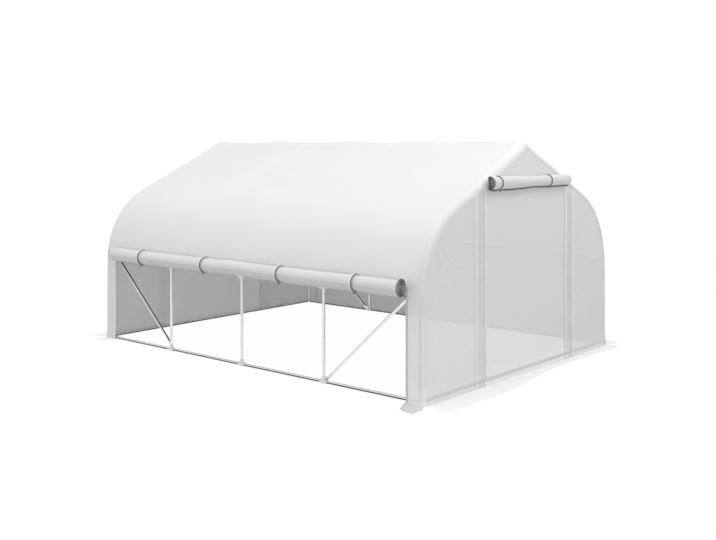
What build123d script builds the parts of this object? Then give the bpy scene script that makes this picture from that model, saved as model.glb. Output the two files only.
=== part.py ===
"""Walk-in polytunnel greenhouse: steel hoops, rails and braces under a sheet cover.

Millimetres and degrees. +X runs along the ridge, the open side faces -Y, and +Z is up.
The origin is on the ground, under the middle of the tunnel.
"""

import os
from math import cos, radians, sin, tan

from build123d import *

os.makedirs("parts", exist_ok=True)

# Overall sizes of the frame, outside its tubes
tunnel_length = 4000.0
tunnel_width = 3000.0
tunnel_height = 2000.0
bay_count = 4

# Hoops: straight legs, a round shoulder and straight rafters that meet in a ridge
rafter_pitch = 25.0
bow_radius = 735.0
tube_diameter = 25.0
tube_sides = 12
bow_tail_length = 4.0

# Fittings that join the tubes
fitting_width = 32.0
fitting_sides = 8
fitting_reach = 42.0
rail_collar_reach = 20.0
purlin_drop = 28.0

# Corner braces, flattened at both ends
brace_head_rise = 90.0
brace_foot_height = 20.0
brace_tab_thickness = 4.0
brace_crimp_length = 70.0
brace_end_overlap = 8.0

# Cover sheets
sheet_thickness = 3.0
seat_gap = 0.3
cover_overhang = 20.0
header_rise = 80.0
strip_width = 160.0
curtain_side_lap = 11.0
curtain_overlap = 60.0
skirt_width = 250.0

# Rolled side curtain, its bar and its straps
curtain_roll_diameter = 144.0
curtain_roll_waist = 10.0
curtain_roll_rise = 10.0
curtain_bar_diameter = 20.0
curtain_bar_wall = 1.5
curtain_strap_shares = (-0.71, -0.22, 0.30, 0.75)
strap_width = 24.0
strap_thickness = 2.0
roll_sides = 24
roll_neck_length = 110.0

# Doors in the gables
door_width = 1320.0
door_head_depth = 345.0
door_panel_lap = 10.0
door_band_width = 150.0
door_band_thickness = 2.0
door_roll_diameter = 116.0
door_roll_waist = 10.0
door_strap_shares = (-0.77, 0.47)

# Places that follow from the sizes above
FRONT, BACK = -1, 1
LEFT, RIGHT = -1, 1
tube_radius = tube_diameter / 2
fitting_half = fitting_width / 2
pitch_cos = cos(radians(rafter_pitch))
pitch_sin = sin(radians(rafter_pitch))
pitch_tan = tan(radians(rafter_pitch))
leg_y = tunnel_width / 2 - tube_radius
end_hoop_x = tunnel_length / 2 - tube_radius
hoop_xs = [end_hoop_x * (2 * i / bay_count - 1) for i in range(bay_count + 1)]
ridge_z = tunnel_height - tube_radius / pitch_cos
eave_z = ridge_z - leg_y * pitch_tan
bend_tangent = bow_radius * tan(radians(90 - rafter_pitch) / 2)
bend_z = eave_z - bend_tangent
rail_z = bend_z - bow_tail_length - rail_collar_reach
base_z = fitting_half
purlin_z = ridge_z - purlin_drop
header_z = rail_z + header_rise

# The cover lies just outside the fittings, and each layer is set by its distance from the tube's centreline
cover_inside = fitting_half + seat_gap
cover_outside = cover_inside + sheet_thickness
curtain_inside = cover_outside + seat_gap
sheet_half = end_hoop_x + cover_inside + cover_overhang
gable_outside_x = sheet_half + sheet_thickness
opening_half = sheet_half - strip_width
curtain_length = 2 * (opening_half + curtain_side_lap)


def save(part, name):
    """Labels a finished piece and writes its file."""
    part.label = name
    export_step(part, f"parts/{name}.step")


def profile_points(distance, side):
    """Ridge, eave and foot of a hoop-shaped line that far outside the tube's centreline."""
    wall_y = leg_y + distance
    top_z = ridge_z + distance / pitch_cos
    return [(0, top_z), (side * wall_y, top_z - wall_y * pitch_tan), (side * wall_y, 0)]


def make_hoop(name, x):
    """One hoop: two straight legs and two bent bows, which butt against the fittings."""
    leg_bottom = base_z + fitting_reach
    leg_length = rail_z - rail_collar_reach - leg_bottom
    with BuildPart() as hoop:
        for side in (FRONT, BACK):
            with BuildSketch(Plane((x, side * leg_y, leg_bottom))):
                RegularPolygon(tube_radius, tube_sides)
            extrude(amount=leg_length)
            bow_foot = (side * leg_y, rail_z + rail_collar_reach)
            bow_head = (side * fitting_reach * pitch_cos, ridge_z - fitting_reach * pitch_sin)
            with BuildLine(Plane.YZ.offset(x)) as path:
                FilletPolyline(bow_foot, (side * leg_y, eave_z), bow_head, radius=bow_radius)
            with BuildSketch(Plane(path.line @ 0, x_dir=(1, 0, 0), z_dir=path.line % 0)):
                RegularPolygon(tube_radius, tube_sides)
            sweep(path=path.line)
    save(hoop.part, name)


def make_tubes(name, runs):
    """Straight tubes, each from one point to another."""
    with BuildPart() as tubes:
        for start, end in runs:
            axis = Vector(*end) - Vector(*start)
            with BuildSketch(Plane(start, z_dir=axis)):
                RegularPolygon(tube_radius, tube_sides)
            extrude(amount=axis.length)
    save(tubes.part, name)


def bay_runs(y, z):
    """The stretches of a lengthwise rail, from one hoop's fitting to the next."""
    pairs = zip(hoop_xs, hoop_xs[1:])
    return [((a + fitting_reach, y, z), (b - fitting_reach, y, z)) for a, b in pairs]


def lengthwise_arms(x):
    """Arms along the tunnel at one hoop: both ways inside it, and inwards at its ends."""
    arms = [(1, 0, 0), (-1, 0, 0)]
    if x == hoop_xs[0]:
        return arms[:1]
    if x == hoop_xs[-1]:
        return arms[1:]
    return arms


def make_fittings(name, fittings):
    """Tube fittings, each a list of arms: a centre, a direction, the length past it and the length back."""
    with BuildPart() as sockets:
        for arms in fittings:
            for centre, direction, reach, heel_length in arms:
                across = (0, 1, 0) if direction[0] else (1, 0, 0)
                heel = Vector(*centre) - Vector(*direction) * heel_length
                with BuildSketch(Plane(heel, x_dir=across, z_dir=direction)):
                    half_side = 180 / fitting_sides
                    RegularPolygon(fitting_half, fitting_sides, major_radius=False, rotation=half_side)
                extrude(amount=heel_length + reach)
    save(sockets.part, name)


def ridge_fittings():
    """An elbow for the two rafters of each hoop, with a sleeve for the purlin under it."""
    mitre = fitting_half * pitch_tan
    elbows = []
    for x in hoop_xs:
        slopes = [(0, side * pitch_cos, -pitch_sin) for side in (FRONT, BACK)]
        rafters = [((x, 0, ridge_z), slope, fitting_reach, mitre) for slope in slopes]
        purlin = (x, 0, purlin_z)
        sleeves = [(purlin, direction, fitting_reach, fitting_half) for direction in lengthwise_arms(x)]
        elbows.append(rafters + sleeves)
    return elbows


def rail_fittings(side):
    """Crosses where the legs, the bows and the side rail meet, with short collars for the leg and the bow."""
    crosses = []
    for x in hoop_xs:
        centre = (x, side * leg_y, rail_z)
        collars = [(centre, (0, 0, way), rail_collar_reach, fitting_half) for way in (1, -1)]
        sleeves = [(centre, direction, fitting_reach, fitting_half) for direction in lengthwise_arms(x)]
        crosses.append(collars + sleeves)
    return crosses


def base_fittings(side):
    """Feet of the hoops: tees along the base rail and three-way pieces at the corners."""
    feet = []
    for x in hoop_xs:
        directions = [(0, 0, 1)] + lengthwise_arms(x)
        if x in (hoop_xs[0], hoop_xs[-1]):
            directions.append((0, -side, 0))
        centre = (x, side * leg_y, base_z)
        feet.append([(centre, direction, fitting_reach, fitting_half) for direction in directions])
    return feet


def brace_solid(side, end):
    """Tube from an end hoop down to the next foot, flattened on its outer side where it is bolted on."""
    head_z = bend_z + brace_head_rise
    foot_x = hoop_xs[1] if end == LEFT else hoop_xs[-2]
    run = abs(end * end_hoop_x - foot_x)
    slope = (head_z - brace_foot_height) / run
    tab_top_rise = brace_head_rise + tube_radius * (1 + slope**2) ** 0.5
    bow_lean = bow_radius - (bow_radius**2 - tab_top_rise**2) ** 0.5
    head_y = leg_y - bow_lean - tube_radius - seat_gap - tube_radius
    foot_y = leg_y - fitting_half - seat_gap - tube_radius
    foot = Vector(foot_x, side * foot_y, brace_foot_height)
    head = Vector(end * end_hoop_x, side * head_y, head_z)
    along = (head - foot).normalized()
    across = along.cross(Vector(0, 1, 0)).normalized()
    start = foot - along * brace_end_overlap
    length = (head - foot).length + 2 * brace_end_overlap
    crimp = brace_crimp_length
    outer = side * tube_radius
    tab_inner = side * (tube_radius - brace_tab_thickness)
    with BuildPart() as brace:
        with BuildSketch(Plane(start, x_dir=across, z_dir=along)):
            RegularPolygon(tube_radius, tube_sides)
        extrude(amount=length)
        with BuildSketch(Plane(start, x_dir=along, z_dir=across)):
            with BuildLine():
                Polyline(
                    (0, outer),
                    (0, tab_inner),
                    (crimp / 2, tab_inner),
                    (crimp, -outer),
                    (length - crimp, -outer),
                    (length - crimp / 2, tab_inner),
                    (length, tab_inner),
                    (length, outer),
                    close=True,
                )
            make_face()
        extrude(amount=tube_radius, both=True, mode=Mode.INTERSECT)
    return brace.part


def make_braces(name, side):
    """The two braces of one side wall."""
    solids = [brace_solid(side, end) for end in (LEFT, RIGHT)]
    with BuildPart() as braces:
        add(solids)
    save(braces.part, name)


def make_cover_layer(name, side, inner, spans, low_z, high_z):
    """Bent sheet between two heights, over each span of X, with its inside that far from the centreline."""
    with BuildPart() as layer:
        for x_start, x_end in spans:
            with BuildSketch(Plane.YZ.offset(x_start)):
                with BuildLine():
                    inside = FilletPolyline(*profile_points(inner, side), radius=bow_radius + inner)
                    outer = inner + sheet_thickness
                    outside = FilletPolyline(*profile_points(outer, side), radius=bow_radius + outer)
                    Line(inside @ 0, outside @ 0)
                    Line(inside @ 1, outside @ 1)
                make_face()
            extrude(amount=x_end - x_start)
        with Locations((0, 0, low_z)):
            Box(
                2 * tunnel_length,
                2 * tunnel_width,
                high_z - low_z,
                align=(Align.CENTER, Align.CENTER, Align.MIN),
                mode=Mode.INTERSECT,
            )
    save(layer.part, name)


def make_gable_piece(name, end, inner_x, thickness, y_spans, low_z, high_z):
    """Flat sheet in the outline of the cover's end, trimmed to each span of Y between two heights."""
    with BuildPart() as piece:
        with BuildSketch(Plane.YZ.offset(end * inner_x)):
            with BuildLine():
                front_edge = FilletPolyline(
                    *profile_points(cover_outside, FRONT), radius=bow_radius + cover_outside
                )
                back_edge = FilletPolyline(
                    *profile_points(cover_outside, BACK), radius=bow_radius + cover_outside
                )
                Line(front_edge @ 1, back_edge @ 1)
            make_face()
        extrude(amount=end * thickness)
        with BuildSketch(Plane.YZ.offset(end * inner_x), mode=Mode.PRIVATE) as window:
            for y_start, y_end in y_spans:
                with Locations(((y_start + y_end) / 2, (low_z + high_z) / 2)):
                    Rectangle(y_end - y_start, high_z - low_z)
        extrude(window.sketch, amount=end * thickness, mode=Mode.INTERSECT)
    save(piece.part, name)


def strap_places(length, shares):
    """Middles of the straps along a roll, as distances from the roll's middle."""
    return [share * length / 2 for share in shares]


def make_roll(name, plane, length, diameter, waist, places, bore):
    """Rolled sheet about the plane's X axis, drawn in to a neck under each strap."""
    full = diameter / 2
    narrow = full - waist / 2
    stations = [(-length / 2, full)]
    for place in places:
        stations += [
            (place - roll_neck_length / 2, full),
            (place - strap_width / 2, narrow),
            (place + strap_width / 2, narrow),
            (place + roll_neck_length / 2, full),
        ]
    stations.append((length / 2, full))
    with BuildPart() as roll:
        for place, radius in stations:
            with BuildSketch(Plane(plane.origin + plane.x_dir * place, z_dir=plane.x_dir)):
                RegularPolygon(radius, roll_sides)
        loft(ruled=True)
        if bore:
            with BuildSketch(Plane(plane.origin - plane.x_dir * length / 2, z_dir=plane.x_dir)):
                Circle(bore)
            extrude(amount=length, mode=Mode.SUBTRACT)
    save(roll.part, name)


def make_straps(name, plane, diameter, waist, places):
    """Webbing loops round a roll, drawn tight in its waists."""
    inside = diameter / 2 - waist / 2 + seat_gap
    with BuildPart() as straps:
        for place in places:
            start = plane.origin + plane.x_dir * (place - strap_width / 2)
            with BuildSketch(Plane(start, z_dir=plane.x_dir)):
                RegularPolygon(inside + strap_thickness, roll_sides, major_radius=False)
                RegularPolygon(inside, roll_sides, major_radius=False, mode=Mode.SUBTRACT)
            extrude(amount=strap_width)
    save(straps.part, name)


def make_bar(name, centre):
    """Hollow bar that the side curtain is rolled on."""
    with BuildPart() as bar:
        with BuildSketch(Plane((centre[0] - curtain_length / 2, *centre[1:]), z_dir=(1, 0, 0))):
            Circle(curtain_bar_diameter / 2)
            Circle(curtain_bar_diameter / 2 - curtain_bar_wall, mode=Mode.SUBTRACT)
        extrude(amount=curtain_length)
    save(bar.part, name)


def make_flaps(name, rectangles):
    """Flat flaps of the cover on the ground, each between two corners in plan."""
    with BuildPart() as flaps:
        with BuildSketch():
            for (x_low, y_low), (x_high, y_high) in rectangles:
                with Locations(((x_low + x_high) / 2, (y_low + y_high) / 2)):
                    Rectangle(x_high - x_low, y_high - y_low)
        extrude(amount=sheet_thickness)
    save(flaps.part, name)


# Frame
hoop_names = ["left_end_hoop", "left_inner_hoop", "middle_hoop", "right_inner_hoop", "right_end_hoop"]
for hoop_name, hoop_x in zip(hoop_names, hoop_xs):
    make_hoop(hoop_name, hoop_x)
make_tubes("ridge_purlin", bay_runs(0, purlin_z))
make_fittings("ridge_fittings", ridge_fittings())
for side_name, side in (("front", FRONT), ("back", BACK)):
    make_tubes(f"{side_name}_side_rail", bay_runs(side * leg_y, rail_z))
    make_tubes(f"{side_name}_base_rail", bay_runs(side * leg_y, base_z))
    make_fittings(f"{side_name}_rail_fittings", rail_fittings(side))
    make_fittings(f"{side_name}_base_fittings", base_fittings(side))
    make_braces(f"{side_name}_braces", side)
gable_rail_end = leg_y - fitting_reach
for end_name, end in (("left", LEFT), ("right", RIGHT)):
    gable_rail_x = end * end_hoop_x
    make_tubes(
        f"{end_name}_base_rail",
        [((gable_rail_x, -gable_rail_end, base_z), (gable_rail_x, gable_rail_end, base_z))],
    )

# Roof sheets, and the strips of wall that are left beside the side openings
end_strips = [(-sheet_half, -opening_half), (opening_half, sheet_half)]
for side_name, side in (("front", FRONT), ("back", BACK)):
    make_cover_layer(
        f"{side_name}_roof_sheet",
        side,
        cover_inside,
        [(-sheet_half, sheet_half)],
        header_z,
        2 * tunnel_height,
    )
    make_cover_layer(f"{side_name}_wall_strips", side, cover_inside, end_strips, sheet_thickness, header_z)

# Front curtain: its head hangs from the roof sheet, and the rest is rolled up against it and strapped
roll_z = header_z + curtain_roll_rise
make_cover_layer(
    "front_curtain_head",
    FRONT,
    curtain_inside,
    [(-curtain_length / 2, curtain_length / 2)],
    roll_z - curtain_roll_diameter / 4,
    header_z + curtain_overlap,
)
bend_reach = bow_radius + curtain_inside + sheet_thickness + seat_gap + curtain_roll_diameter / 2
roll_y = leg_y - bow_radius + (bend_reach**2 - max(roll_z - bend_z, 0) ** 2) ** 0.5
roll_plane = Plane((0, -roll_y, roll_z), x_dir=(1, 0, 0), z_dir=(0, -1, 0))
curtain_strap_places = strap_places(curtain_length, curtain_strap_shares)
bar_bore = curtain_bar_diameter / 2 + seat_gap
make_roll(
    "front_rolled_curtain",
    roll_plane,
    curtain_length,
    curtain_roll_diameter,
    curtain_roll_waist,
    curtain_strap_places,
    bar_bore,
)
make_straps(
    "front_curtain_straps", roll_plane, curtain_roll_diameter, curtain_roll_waist, curtain_strap_places
)
make_bar("front_curtain_bar", tuple(roll_plane.origin))

# Back curtain, let down over the opening with its bar along the foot
curtain_low_z = sheet_thickness + seat_gap
make_cover_layer(
    "back_curtain",
    BACK,
    curtain_inside,
    [(-curtain_length / 2, curtain_length / 2)],
    curtain_low_z,
    header_z + curtain_overlap,
)
back_bar_y = leg_y + curtain_inside + sheet_thickness + seat_gap + curtain_bar_diameter / 2
make_bar("back_curtain_bar", (0, back_bar_y, curtain_low_z + curtain_bar_diameter / 2))

# Gables: sheet beside and over the door, the door's screen and its edge bands
door_half = door_width / 2
door_height = tunnel_height - door_head_depth
band_outer = door_half + door_band_width
for end_name, end in (("left", LEFT), ("right", RIGHT)):
    pieces = {
        "gable_front_panel": ([(-tunnel_width, -door_half)], sheet_thickness, 2 * tunnel_height),
        "gable_back_panel": ([(door_half, tunnel_width)], sheet_thickness, 2 * tunnel_height),
        "gable_top_panel": ([(-door_half, door_half)], door_height, 2 * tunnel_height),
        "door_screen": ([(-door_half, door_half)], sheet_thickness, door_height),
    }
    for piece_name, (y_spans, low_z, high_z) in pieces.items():
        make_gable_piece(
            f"{end_name}_{piece_name}", end, sheet_half, sheet_thickness, y_spans, low_z, high_z
        )
    make_gable_piece(
        f"{end_name}_door_bands",
        end,
        gable_outside_x,
        door_band_thickness,
        [(-band_outer, -door_half), (door_half, band_outer)],
        sheet_thickness,
        2 * tunnel_height,
    )

# Door panels, which lap onto the bands: the right one is rolled up and strapped, the left one is let down
door_panel_half = door_half + door_panel_lap
door_strap_places = strap_places(2 * door_panel_half, door_strap_shares)
door_roll_x = gable_outside_x + door_band_thickness + door_roll_diameter / 2 + seat_gap
door_roll_plane = Plane((door_roll_x, 0, door_height), x_dir=(0, 1, 0), z_dir=(1, 0, 0))
make_roll(
    "right_door_roll",
    door_roll_plane,
    2 * door_panel_half,
    door_roll_diameter,
    door_roll_waist,
    door_strap_places,
    0,
)
make_straps("right_door_straps", door_roll_plane, door_roll_diameter, door_roll_waist, door_strap_places)
make_gable_piece(
    "left_door_panel",
    LEFT,
    gable_outside_x + door_band_thickness,
    sheet_thickness,
    [(-door_panel_half, door_panel_half)],
    sheet_thickness,
    door_height + door_panel_lap,
)

# Flaps of the cover that lie outwards on the ground
wall_inside_y = leg_y + cover_inside
wall_outside_y = leg_y + cover_outside
skirt_x = sheet_half + skirt_width
for end_name, end in (("left", LEFT), ("right", RIGHT)):
    near_x, far_x = sorted((end * sheet_half, end * skirt_x))
    make_flaps(f"{end_name}_gable_skirt", [((near_x, -wall_outside_y), (far_x, wall_outside_y))])
skirt_y = wall_inside_y + skirt_width
corner_flaps = []
for x_start, x_end in end_strips:
    corner_flaps.append(((x_start, -skirt_y), (x_end, -wall_inside_y)))
    corner_flaps.append(((x_start, wall_inside_y), (x_end, skirt_y)))
make_flaps("corner_skirts", corner_flaps)
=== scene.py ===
"""Dresses the polytunnel: round tubes, one sagging cover sheet, gables, rolled sheets, straps and flaps.

Metres. +X runs along the ridge, the open side faces -Y, and the ground is at Z = 0.
"""
import random
from math import acos, cos, exp, inf, pi, radians, sin, sqrt, tan, tanh
from types import SimpleNamespace

import bpy
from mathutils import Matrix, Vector, noise


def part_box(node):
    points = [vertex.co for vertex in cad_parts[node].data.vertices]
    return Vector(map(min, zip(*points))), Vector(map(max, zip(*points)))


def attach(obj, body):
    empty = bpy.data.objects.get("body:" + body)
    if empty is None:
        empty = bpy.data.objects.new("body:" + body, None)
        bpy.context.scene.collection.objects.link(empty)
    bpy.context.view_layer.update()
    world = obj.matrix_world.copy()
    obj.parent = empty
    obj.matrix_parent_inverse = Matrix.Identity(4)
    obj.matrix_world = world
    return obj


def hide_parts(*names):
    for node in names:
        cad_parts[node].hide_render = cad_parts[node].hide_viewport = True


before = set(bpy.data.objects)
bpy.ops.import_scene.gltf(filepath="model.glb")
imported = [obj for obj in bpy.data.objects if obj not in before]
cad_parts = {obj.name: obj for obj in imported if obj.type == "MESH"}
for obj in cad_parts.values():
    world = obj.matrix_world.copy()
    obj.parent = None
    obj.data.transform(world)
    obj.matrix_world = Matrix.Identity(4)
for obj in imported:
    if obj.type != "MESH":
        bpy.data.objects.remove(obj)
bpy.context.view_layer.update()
FRONT, BACK = -1, 1
LEFT, RIGHT = -1, 1
END_NAMES = {LEFT: "left", RIGHT: "right"}
SIDE_NAMES = {FRONT: "front", BACK: "back"}
UP = Vector((0, 0, 1))

# Frame of the tunnel, as it was built
HOOPS = ("left_end_hoop", "left_inner_hoop", "middle_hoop", "right_inner_hoop", "right_end_hoop")
tunnel_height = 2.0
tube_radius = 0.0125
pitch = radians(25)
bow_radius = 0.735
rail_drop = 0.024
purlin_drop = 0.028
header_rise = 0.080
base_z = 0.016
fitting_reach = 0.042
hoop_xs = [(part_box(name)[0][0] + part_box(name)[1][0]) / 2 for name in HOOPS]
end_x = hoop_xs[-1]
bay = hoop_xs[1] - hoop_xs[0]
leg_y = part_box(HOOPS[0])[1][1] - tube_radius
bend_y = leg_y - bow_radius
ridge_z = tunnel_height - tube_radius / cos(pitch)
bend_z = ridge_z - leg_y * tan(pitch) - bow_radius * tan((pi / 2 - pitch) / 2)
rail_z = bend_z - rail_drop
purlin_z = ridge_z - purlin_drop
header_z = rail_z + header_rise

# The hoop's centreline, measured from the ridge down to the ground on one side
rafter_length = leg_y / cos(pitch) - bow_radius * tan((pi / 2 - pitch) / 2)
bend_length = bow_radius * (pi / 2 - pitch)
half_girth = rafter_length + bend_length + bend_z
header_run = rafter_length + bow_radius * (acos((header_z - bend_z) / bow_radius) - pitch)

# The cover lies cover_off outside the centreline where it bears on a hoop. Its ends overhang the end hoops,
# and the right one is drawn further out than the left one. Its foot flares out over the ground.
cover_off = 0.0178
cover_edge = {LEFT: 2.014, RIGHT: 2.042}
nose_radius = {LEFT: 0.020, RIGHT: 0.050}
nose_heights = (0.62, 1.05)
back_nose_drop = 0.22
foot_radius = 0.006
edge_sink = 0.003
edge_sink_reach = 0.05
edge_lap = 0.010
edge_hem = 0.045
# Above this height the doubled edge over a gable is painted lighter, as a highlight.
edge_highlight_z = 1.55
film_gap = 0.0015
ridge_tent, ridge_tent_run = 0.012, 0.14
bay_sag, ridge_sag, ridge_sag_run = 0.005, 0.013, 0.30
roof_crease = 0.0022
sag_fade_run = 0.35
flare_height = 0.16
flare_xs = (1.80, 1.99)
flare_ys = (1.40, 1.50)
left_flare = (0.004, 0.010)
right_flare = (0.030, 0.035)
# Between these the cover's foot over the right corner leg is painted darker, as the shade of a seam.
seam_shade_xs = (2.000, 2.007)
opening_half = 1.8638
opening_hem_lines = (0, 0.006, 0.016)
strip_hem_width, strip_hem_cut = 0.020, 0.0201

# Gables and doors. Bands, hems and the let-down panel lie in front of the gable's sheet by their lifts.
door_half = 0.66
door_top = 1.655
panel_half = 0.67
panel_lap = 0.010
band_width = 0.15
hem_width = 0.034
hem_shift = {LEFT: 0, RIGHT: 0.008}
band_lift, hem_lift, panel_lift = 0.0014, 0.0026, 0.0085
tuck_depths = (0.045, 0.065)
gable_gap = 0.001
gable_slack, gable_waves = 0.005, 0.0018
held_margin = 0.25
fold_z, fold_slope, fold_depth, fold_width = 1.065, 0.13, 0.0034, 0.010
fold_reach, fold_fade = 1.2, 0.3
crease_width, crease_limit = 0.009, 0.04
foot_rise = 0.060
# The last is half the width of the line along the tie that is painted darker, as the base rail's shadow on
# the film.
tie_z, tie_width, tie_margin, tie_shadow_half = 0.036, 0.012, 0.08, 0.006
tie_depth = {LEFT: 0.001, RIGHT: 0.006}

# Flaps on the ground
flap_reach = {LEFT: 2.220, RIGHT: 2.300}
flap_waist, flap_waist_ys = 0.125, (-0.7, 0.3)
flap_tail, flap_tail_ys = 0.030, (0.8, 1.4)
flap_swell, flap_fold = 0.010, 0.010
corner_reach, corner_swell = 0.120, 0.009

# Rolls, with their tapes, cords and toggles
strap_width, strap_thickness = 0.020, 0.0026
cord_radius, cord_gap = 0.0030, 0.016
# Radius of the dark cord that paints the shadow line under the door roll.
shadow_cord_radius = 0.0055
neck_width, groove_width, groove_gap = 0.045, 0.007, 0.017
roll_end_lines = (0.004, 0.010, 0.022)
roll_hem_half = 0.022
curtain_lap = 0.06
pocket_radius = 0.0114


def linear(hex_colour):
    """An sRGB hex colour as linear red, green, blue and alpha."""
    parts = [int(hex_colour[i:i + 2], 16) / 255 for i in (0, 2, 4)]
    return [p / 12.92 if p <= 0.04045 else ((p + 0.055) / 1.055) ** 2.4 for p in parts] + [1.0]


def add(tree, kind, inputs=None, output=0, **settings):
    """Adds a node with its settings, its inputs linked or set to values, and gives one of its outputs."""
    made = tree.nodes.new(kind)
    for key, value in settings.items():
        setattr(made, key, value)
    for key, value in (inputs or {}).items():
        if isinstance(value, bpy.types.NodeSocket):
            tree.links.new(value, made.inputs[key])
        else:
            made.inputs[key].default_value = value
    return made.outputs[output] if len(made.outputs) else None


def made_material(name, build, *values):
    """A material whose surface is the shader that build adds to its tree."""
    material = bpy.data.materials.new(name)
    material.use_nodes = True
    tree = material.node_tree
    tree.nodes.clear()
    add(tree, "ShaderNodeOutputMaterial", {"Surface": build(tree, *values)})
    return material


def placed(name, data):
    """Puts a mesh, light or camera into the scene as an object."""
    made = bpy.data.objects.new(name, data)
    bpy.context.scene.collection.objects.link(made)
    return made


# Materials

def wave_scale(spacing):
    """Scale of a wave texture whose bands lie that far apart."""
    return 2 * pi / (20 * spacing)


def bumpy_skin(tree, body, height, strength, depth, values):
    """A bumpy skin of this colour: its shader, and its normal for a second one."""
    normal = add(tree, "ShaderNodeBump", {"Height": height, "Strength": strength, "Distance": depth})
    return add(tree, "ShaderNodeBsdfPrincipled", {"Base Color": body, "Normal": normal, **values}), normal


def polyethylene_film(tree, alpha, glow, tone="F6F6F6", cloud="EEEEEE"):
    """Woven-scrim polyethylene film: milky and soft, with a faint scrim that shows most downwards.

    The real scrim has about 8 mm squares. They are drawn at 24 mm, because finer ones don't show. Its milk
    is cloudy over some 450 mm, and it crinkles over some 38 mm.
    """
    given = add(tree, "ShaderNodeTexCoord").node.outputs
    squares = {"Vector": given["UV"], "Scale": wave_scale(0.024)}
    lines = []
    for direction, strength in (("X", 1.0), ("Y", 0.3)):
        wave = add(tree, "ShaderNodeTexWave", squares, "Fac", bands_direction=direction)
        sharp = add(tree, "ShaderNodeMath", {0: wave, 1: 9.0}, operation="POWER")
        lines.append(add(tree, "ShaderNodeMath", {0: sharp, 1: strength}, operation="MULTIPLY"))
    scrim = add(tree, "ShaderNodeMath", {0: lines[0], 1: lines[1]}, operation="MAXIMUM")
    place = given["Object"]
    milk = add(tree, "ShaderNodeTexNoise", {"Vector": place, "Scale": 2.2, "Detail": 4.0}, "Fac")
    crinkle = add(tree, "ShaderNodeTexNoise", {"Vector": place, "Scale": 26.0, "Detail": 3.0}, "Fac")
    base = add(tree, "ShaderNodeMix", {0: milk, 6: linear(cloud), 7: linear(tone)}, 2, data_type="RGBA")
    tint = add(tree, "ShaderNodeMath", {0: scrim, 1: 0.14}, operation="MULTIPLY")
    body = add(tree, "ShaderNodeMix", {0: tint, 6: base, 7: linear("CCCCCC")}, 2, data_type="RGBA")
    height = add(tree, "ShaderNodeMath", {0: scrim, 1: crinkle}, operation="ADD")
    gloss = {"Roughness": 0.44, "IOR": 1.51, "Alpha": alpha}
    skin, normal = bumpy_skin(tree, body, height, 0.12, 0.004, gloss)
    through = add(tree, "ShaderNodeBsdfTranslucent", {"Color": body, "Normal": normal})
    return add(tree, "ShaderNodeMixShader", {0: glow, 1: skin, 2: through})


def wound_film_edges(tree):
    """Edges of wound polyethylene film, seen end on, in painted shade: grey turns, darker where light is
    trapped between them.

    Real turns lie about 4 mm apart. Turns and specks are drawn at 11 mm, because finer ones don't show.
    """
    given = add(tree, "ShaderNodeTexCoord").node.outputs
    turns = {"Vector": given["UV"], "Scale": wave_scale(0.011)}
    turn = add(tree, "ShaderNodeTexWave", turns, "Fac", bands_direction="X")
    specks = {"Vector": given["Object"], "Scale": 90.0, "Detail": 3.0}
    speck = add(tree, "ShaderNodeTexNoise", specks, "Fac")
    blend = add(tree, "ShaderNodeMath", {0: turn, 1: speck}, operation="MULTIPLY")
    greys = {0: blend, 6: linear("505050"), 7: linear("7A7A7A")}
    body = add(tree, "ShaderNodeMix", greys, 2, data_type="RGBA")
    return bumpy_skin(tree, body, turn, 0.5, 0.002, {"Roughness": 0.6, "IOR": 1.51})[0]


def insect_mesh(tree):
    """Knitted polyethylene insect mesh: pale threads with air between them, a little clearer than the film.

    Real threads are about 1.5 mm apart. They are drawn 9 mm apart, because finer ones don't show.
    """
    threads = {"Vector": add(tree, "ShaderNodeTexCoord", None, "UV"), "Scale": wave_scale(0.009)}
    rows = add(tree, "ShaderNodeTexWave", threads, "Fac", bands_direction="X")
    courses = add(tree, "ShaderNodeTexWave", threads, "Fac", bands_direction="Y")
    knit = add(tree, "ShaderNodeMath", {0: rows, 1: courses}, operation="MAXIMUM")
    whites = {0: knit, 6: linear("EDEDED"), 7: linear("FBFBFB")}
    body = add(tree, "ShaderNodeMix", whites, 2, data_type="RGBA")
    thread, _ = bumpy_skin(tree, body, knit, 0.15, 0.002, {"Roughness": 0.6, "Alpha": 0.835})
    through = add(tree, "ShaderNodeBsdfTranslucent", {"Color": body})
    return add(tree, "ShaderNodeMixShader", {0: 0.06, 1: thread, 2: through})


def galvanised_steel(tree, bright, dull, roughness, painted_shade=None):
    """Galvanised steel: a bright zinc skin that mirrors softly, with a spangle of grains some 12 mm wide.

    The zinc is cloudy over some 110 mm. Painted shade, where given, is a coordinate with its value where the
    zinc is lit and its value where it is fully shaded.
    """
    given = add(tree, "ShaderNodeTexCoord").node.outputs
    place = given["Object"]
    grain = add(tree, "ShaderNodeTexVoronoi", {"Vector": place, "Scale": 1 / 0.012}, "Color")
    cloud = add(tree, "ShaderNodeTexNoise", {"Vector": place, "Scale": 9.0, "Detail": 5.0}, "Fac")
    shade = add(tree, "ShaderNodeSeparateColor", {0: grain})
    blend = add(tree, "ShaderNodeMath", {0: shade, 1: cloud}, operation="MULTIPLY")
    body = add(tree, "ShaderNodeMix", {0: blend, 6: linear(bright), 7: linear(dull)}, 2, data_type="RGBA")
    if painted_shade:
        # Painted shade: the zinc turns dark grey between the lit and the shaded value.
        source, lit_value, shaded_value = painted_shade
        height = add(tree, "ShaderNodeSeparateXYZ", {0: given[source]}, 2)
        share = add(tree, "ShaderNodeMapRange", {0: height, 1: lit_value, 2: shaded_value})
        body = add(tree, "ShaderNodeMix", {0: share, 6: body, 7: linear("525252")}, 2, data_type="RGBA")
    rough = add(tree, "ShaderNodeMapRange", {0: cloud, 3: roughness - 0.05, 4: roughness + 0.07})
    return bumpy_skin(tree, body, cloud, 0.06, 0.001, {"Metallic": 0.80, "Roughness": rough})[0]


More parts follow.
